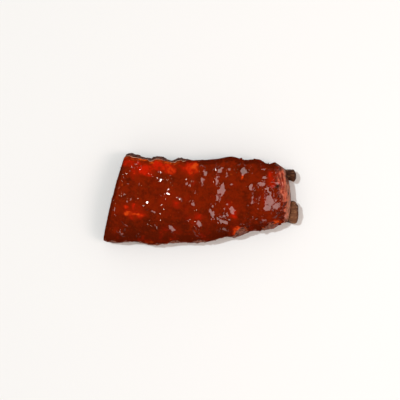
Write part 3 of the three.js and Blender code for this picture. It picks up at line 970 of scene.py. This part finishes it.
def meat_material(meat):
    """Browned crust with dark crags and pale specks, torn fibres that go from salmon by the glaze to tan
    outside, with dark and juicy red gaps between them, a painted sheen on the flaps, and a paler skin between
    the bones."""
    shader = Shader("browned_meat")
    torn, under, crag = shader.attributes("torn", "under", "crag")
    moist, shade, flap = shader.attributes("moist", "shade", "flap")
    grain = shader.noise(1.0, 5, roughness=0.65)
    broad = shader.noise(5, 3)
    crust = shader.mix((crag * 0.9 + grain * 1.0 - 0.6).step(0.3, 0.75), meat.char, meat.crust)
    crust = shader.mix((broad * 0.6 + grain * 0.5).step(0.5, 0.68) * 0.6, crust, meat.skin)
    crust = shader.mix((grain + crag * 0.4).step(0.86, 0.98) * 0.7, crust, meat.fibre)
    strand = shader.noise(0.9, 4, stretch=(1, 3.5, 2), roughness=0.65)
    tuft = shader.noise(2.4, 4, stretch=(1, 2.2, 1), roughness=0.6)
    wet = (moist + (broad - 0.5) * 1.6 + (strand - 0.5) * 2.4).step(0.2, 1.1)
    fibre = shader.mix(wet, meat.fibre, meat.flesh)
    fibre = shader.mix((strand * 0.6 + tuft * 0.6 - shade * 0.45).step(0.5, 0.36) * 0.7, fibre, meat.skin)
    fibre = shader.mix((moist * 0.5 + tuft * 0.9 + (strand - 0.5) * 0.8).step(0.82, 1.0), fibre, meat.juice)
    fibre = shader.mix((crag * 0.8 + strand * 0.5 - shade * 0.5).step(0.6, 0.2) * 0.9, fibre, meat.char)
    # Painted sheen: pale mauve on the wet flaps.
    fibre = shader.mix((flap + (grain - 0.5) * 0.8).step(0.3, 0.8) * 0.8, fibre, meat.flap)
    belly = shader.mix((broad * 0.7 + grain * 0.5).step(0.4, 0.8), meat.crust, meat.underside)
    colour = shader.mix(torn, crust, fibre)
    colour = shader.mix(under, colour, belly)
    rough = shader.bump(grain, 0.25)
    rough = shader.bump(strand, 0.4, normal=rough)
    return shader.finish(
        {
            "Base Color": colour,
            "Roughness": grain * 0.25 + 0.42,
            "Specular IOR Level": 0.12,
            "Normal": rough,
            "Coat Weight": torn * broad.step(0.4, 0.6) * (1 - shade.step(0.1, 0.6)) * 0.5,
            "Coat Roughness": 0.12,
            "Subsurface Weight": 0.05,
            "Subsurface Radius": (1.0, 0.4, 0.2),
            "Subsurface Scale": 1.0 * MM,
        }
    )


def meat_top(meat, a, b, from_end):
    """The slab's top and sides, moved along their normals by crags on the crust and by strands, tears and
    flaps at the torn end, and what the shader reads there."""
    top = top_surface(a, b)
    x, y = top[..., 0], top[..., 1]
    side = np.minimum(smoothstep(np.abs(b), 0.9, 0.97) + smoothstep(-a, 0.95, 0.99), 1)
    torn = smoothstep(x + 1.2 * ripples(top, 5, 51), 56, 61)
    crag = ridges(top, 3.4, 53) * 0.6 + ridges(top, 1.7, 55) * 0.4
    strand = ridges(top, 2.3, 57, stretch=(1, 5, 1.6)) * 0.65
    strand = strand + ridges(top, 1.2, 59, stretch=(1, 6, 1.5)) * 0.35
    # The flaps' height also marks where their painted sheen goes.
    flap = mounds(x, y, FLAPS)
    rough = meat.bark / MM * (crag - 0.6) * (1 - torn) * (1 + 1.6 * side)
    rough = rough + 0.3 * ripples(top, 4.5, 65) * side * (1 - torn)
    rough = rough + meat.strand / MM * (strand - 0.6) * torn - mounds(x, y, TEARS) + flap
    sunk = MEAT_SUNK + (BARK_SUNK - MEAT_SUNK) * np.maximum(side, torn)
    shade = mounds(x, y, DARK_FIBRES) + 0.35 * smoothstep(5 - from_end, 0, 4)
    shade = shade + SHOULDER_SHADE * np.exp(-(((from_end - SHOULDER_UP) / 2.6) ** 2))
    near_crag = NEAR_PALENESS * smoothstep(-b, 0.4, 0.95) * (1 - torn)
    marks = {
        "moist": smoothstep(from_end, 5.5, 13),
        "shade": shade,
        "flap": 2 * flap,
        "torn": torn,
        "crag": crag + (strand - crag) * torn + near_crag,
        "under": 0 * torn,
    }
    return top + normals_of(top) * (rough - sunk)[..., None], marks


def meat_below(a, b, top):
    """The underside, a wrinkled skin that sags between the bones and rises over them, and what the shader
    reads there. Its outermost points are the top's."""
    below = under_surface(a, b)
    wrinkle = 0.18 * ripples(below, 3.5, 61, stretch=(2.5, 1, 1)) + 0.1 * ripples(below, 1.6, 63)
    sag = SKIN_SAG * np.cos(2 * np.pi * below[..., 1] / BONE_PITCH)
    cover = bone_cover(below[..., 0], below[..., 1])
    below[..., 2] = np.maximum(below[..., 2] + wrinkle - sag, cover)
    for edge in (np.s_[0], np.s_[-1], np.s_[:, 0], np.s_[:, -1]):
        below[edge] = top[edge]
    return below, {"crag": 0.5 + wrinkle, "under": smoothstep(0.97 - np.abs(b), 0, 0.05)}


class RIBS_OT_meat(bpy.types.Operator):
    """Build the meat as one closed slab with crust, torn end and channels for the bones"""

    bl_idname = "ribs.meat"
    bl_label = "Add meat"

    def execute(self, context):
        meat = context.scene.ribs_meat
        v = np.linspace(-1, 1, MEAT_ROWS)[:, None] + np.zeros(MEAT_COLUMNS)
        u = np.linspace(-1, 1, MEAT_COLUMNS) + 0 * v
        a, b = along_at(v), across_at(u)
        top, top_marks = meat_top(meat, a, b, (1 - v) * RIGHT_ARC[2])
        below, below_marks = meat_below(a, b, top)
        marks = {
            name: np.concatenate([values.ravel(), below_marks.get(name, 0 * b)[1:-1, 1:-1].ravel()])
            for name, values in top_marks.items()
        }
        piece = add_mesh("meat_slab", *pillow(top, below), marks, meat_material(meat))
        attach(piece, "root")
        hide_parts("meat")
        return {"FINISHED"}


# Bones

BONE_ROWS, BONE_SIDES, CAP_ROWS = 150, 56, 12
BONE_ANGLES = np.linspace(0, 2 * np.pi, BONE_SIDES, endpoint=False)
# The sawn face's share of the bone's size, and how far its middle sinks.
SAWN_SHARE, SAWN_DEPTH = 0.94, 0.7
# How long the lumpy tip is, and where the bones come out of the meat.
TIP_LENGTH = 7
BARE_FROM_X, BARE_TO_X = 66.5, 70.0


def bone_rings(bone, number):
    """An oval carried along a bone's centre line, with lumps on it that are larger at the tip. At each end
    the oval shrinks to a point, first over a rounded rim and then across the sawn face, which sinks a little
    towards its spongy middle. Returns the rings, how far each is from the right end, and its share of the
    full size."""
    inward = np.linspace(0, 1, CAP_ROWS + 1)[:-1]
    u = np.concatenate([0 * inward, np.linspace(0, 1, BONE_ROWS), 0 * inward + 1])[:, None]
    size = np.concatenate([inward * SAWN_SHARE, np.ones(BONE_ROWS), inward[::-1] * SAWN_SHARE])[:, None]
    length = bone["right"][0] - bone["left"][0]
    from_right, from_end = (1 - u) * length, np.minimum(u, 1 - u) * length
    flared = 1 + bone["flare"] * np.exp(-from_right / FLARE_LENGTH)
    into_end = np.maximum(0, 1 - from_right / bone["rounding"])
    rim = (1 - 0.09 * np.exp(-((from_end / 0.5) ** 2))) * (1 - END_NARROWING * into_end**2.5)
    across = bone["width"] / 2 * flared * size * rim * np.cos(BONE_ANGLES)
    up = bone["height"] / 2 * (1 + (flared - 1) * 0.3) * size * rim * np.sin(BONE_ANGLES)
    sink = SAWN_DEPTH * smoothstep(0.8 - size, 0, 0.3) * np.where(u < 0.5, 1, -1)
    x, y, z = bone_centre(bone, u)
    rings = np.stack([x + CUT_SLANT * (1 - u) ** 4 * across + sink, y + across, z + up], -1)
    tip = np.exp(-((from_right / TIP_LENGTH) ** 2))
    rough = (0.12 + 0.32 * tip) * ripples(rings, 5, 71 + number, stretch=(1.6, 1, 1))
    rough = rough + (0.06 + 0.12 * tip) * ripples(rings, 2, 81 + number, stretch=(2, 1, 1))
    rings[..., 1] += rough * size * np.cos(BONE_ANGLES)
    rings[..., 2] = np.maximum(rings[..., 2] + rough * size * np.sin(BONE_ANGLES), 0)
    return rings, from_right, size


def bone_marks(bone, from_right, size):
    """What the shader reads: the sawn faces, and how dark the bone is: stained more inside the meat and
    darker at the tip's rim, with painted shade low down."""
    around = 0 * BONE_ANGLES
    bare = smoothstep(bone["right"][0] - from_right, BARE_FROM_X, BARE_TO_X)
    # Painted shade: the lower half of each bone is darker.
    stained = bone["stain"] + 0.8 * (1 - bare) + 0.5 * smoothstep(-np.sin(BONE_ANGLES), -0.6, 0.2)
    stained = stained + 0.7 * np.exp(-((from_right / 1.3) ** 2))
    sawn = smoothstep(0.86 - size, 0, 0.12) + around
    return {"sawn": once_at_the_ends(sawn), "stained": once_at_the_ends(stained)}


def bone_material(bones):
    """Cooked bone: brown streaks along it, darker stains and painted shade below, and a red-brown spongy
    middle at the sawn ends.
    """
    shader = Shader("cooked_bone")
    sawn, stained = shader.attributes("sawn", "stained")
    streak = shader.noise(1.1, 4, stretch=(9, 1, 1), roughness=0.6)
    blotch = shader.noise(7, 3, stretch=(1.6, 1, 1))
    pores = shader.noise(0.7, 2)
    # The stained mark carries painted shade on the underside as well as stains.
    clean = (streak * 1.2 + blotch * 1.0 - 0.5 - stained * 0.35).step(0.2, 0.7)
    side = shader.mix(clean, bones.stain, bones.colour)
    side = shader.mix((streak * 0.9 + pores * 0.3).step(0.66, 0.78) * 0.7, side, bones.gristle)
    sponge = shader.mix(pores.step(0.42, 0.6), bones.stain, bones.marrow)
    colour = shader.mix(sawn, side, sponge)
    rough = shader.bump(pores * sawn, 0.5, normal=shader.bump(streak, 0.2))
    return shader.finish(
        {"Base Color": colour, "Roughness": streak * 0.2 + 0.45, "Specular IOR Level": 0.25, "Normal": rough}
    )


class RIBS_OT_bones(bpy.types.Operator):
    """Build the rib bones with streaked sides and sawn ends"""

    bl_idname = "ribs.bones"
    bl_label = "Add bones"

    def execute(self, context):
        material = bone_material(context.scene.ribs_bones)
        for number, (name, bone) in enumerate(BONES.items()):
            rings, from_right, size = bone_rings(bone, number)
            marks = bone_marks(bone, from_right, size)
            piece = add_mesh(name + "_cooked", *capped_tube(rings), marks, material)
            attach(piece, "root")
            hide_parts(name)
        return {"FINISHED"}


# Stage

FLOOR_RADIUS, FLOOR_SIDES = 1600, 64
# The key light gives no gloss, and a weaker twin of it gives only the glints: widths in degrees, and the
# twin's share of the strength.
KEY_WIDTH, KEY_COLOUR = 2.6, (0.88, 1.0, 1.06)
GLINT_WIDTH, GLINT_COLOUR, GLINT_SHARE = 3.2, (1.0, 0.94, 0.9), 0.14
CARD_SIZE, CARD_COLOUR, CARD_POWER = (0.3, 0.36), (1.0, 0.82, 0.78), 1.9
SKY_COLOUR, SKY_STRENGTH = (1.08, 1.0, 0.94, 1), 0.55
FARTHEST_LAMP = 2000
SENSOR_WIDTH = 36


class RIBS_OT_stage(bpy.types.Operator):
    """Lay a plain floor, light it from the far left and set the camera straight above"""

    bl_idname = "ribs.stage"
    bl_label = "Set stage"

    def execute(self, context):
        settings = context.scene.ribs_stage
        shader = Shader("plain_floor")
        paint = {"Base Color": (*settings.floor, 1), "Roughness": 0.6, "Specular IOR Level": 0.2}
        turn = np.linspace(0, 2 * np.pi, FLOOR_SIDES, endpoint=False)
        ring = np.stack([np.cos(turn), np.sin(turn), 0 * turn], -1) * FLOOR_RADIUS
        add_mesh("floor", ring, [list(range(FLOOR_SIDES))], {}, shader.finish(paint))

        key = self.lamp("key", "SUN", settings.sun, KEY_COLOUR, SUN_PLACE)
        key.data.angle = math.radians(KEY_WIDTH)
        key.visible_glossy = False
        glint = self.lamp("glint", "SUN", GLINT_SHARE * settings.sun, GLINT_COLOUR, SUN_PLACE)
        glint.data.angle = math.radians(GLINT_WIDTH)
        glint.visible_diffuse = False
        card = self.lamp("card", "AREA", CARD_POWER * settings.fill, CARD_COLOUR, CARD_PLACE)
        card.data.shape = "RECTANGLE"
        card.data.size, card.data.size_y = CARD_SIZE

        world = bpy.data.worlds.new("studio")
        context.scene.world = world
        world.use_nodes = True
        background = world.node_tree.nodes["Background"]
        background.inputs["Color"].default_value = SKY_COLOUR
        background.inputs["Strength"].default_value = SKY_STRENGTH * settings.fill
        world.cycles_visibility.glossy = False

        lens = bpy.data.cameras.new("camera")
        lens.lens, lens.sensor_width = CAMERA_LENS, SENSOR_WIDTH
        lens.clip_start, lens.clip_end = 0.01, 20
        camera = bpy.data.objects.new("camera", lens)
        camera.location = Vector(CAMERA_PLACE) * MM
        context.scene.collection.objects.link(camera)
        context.scene.camera = camera
        context.scene.view_settings.view_transform = "Standard"
        return {"FINISHED"}

    def lamp(self, name, kind, energy, colour, place):
        """Adds a light at its place, or that way as far as lamps may stand, aimed at the rack."""
        light = bpy.data.lights.new(name, kind)
        light.energy, light.color = energy, colour
        lamp = bpy.data.objects.new(name, light)
        way = Vector(place)
        lamp.location = way.normalized() * min(way.length, FARTHEST_LAMP) * MM
        lamp.rotation_mode = "QUATERNION"
        lamp.rotation_quaternion = (way - Vector((0, 0, MIDDLE_TOP_Z))).to_track_quat("Z", "Y")
        bpy.context.scene.collection.objects.link(lamp)
        return lamp


class RIBS_PT_panel(bpy.types.Panel):
    """Sizes, colours and steps of the rack of ribs"""

    bl_idname = "RIBS_PT_panel"
    bl_label = "Rack of ribs"
    bl_space_type = "VIEW_3D"
    bl_region_type = "UI"
    bl_category = "Ribs"

    def draw(self, context):
        for name, group in GROUPS.items():
            box = self.layout.box()
            for key in group.__annotations__:
                box.prop(getattr(context.scene, name), key)
        for operator in OPERATORS:
            self.layout.operator(operator.bl_idname)


GROUPS = {"ribs_glaze": RibsGlaze, "ribs_meat": RibsMeat, "ribs_bones": RibsBones, "ribs_stage": RibsStage}
OPERATORS = (RIBS_OT_stage, RIBS_OT_bones, RIBS_OT_meat, RIBS_OT_glaze)
CLASSES = (*GROUPS.values(), *OPERATORS, RIBS_PT_panel)


def register():
    for cls in CLASSES:
        bpy.utils.register_class(cls)
    for name, group in GROUPS.items():
        setattr(bpy.types.Scene, name, bpy.props.PointerProperty(type=group))


def unregister():
    for name in GROUPS:
        delattr(bpy.types.Scene, name)
    for cls in reversed(CLASSES):
        bpy.utils.unregister_class(cls)


def main():
    register()
    bpy.ops.ribs.stage()
    bpy.ops.ribs.bones()
    bpy.ops.ribs.meat()
    bpy.ops.ribs.glaze()


if __name__ == "__main__":
    main()
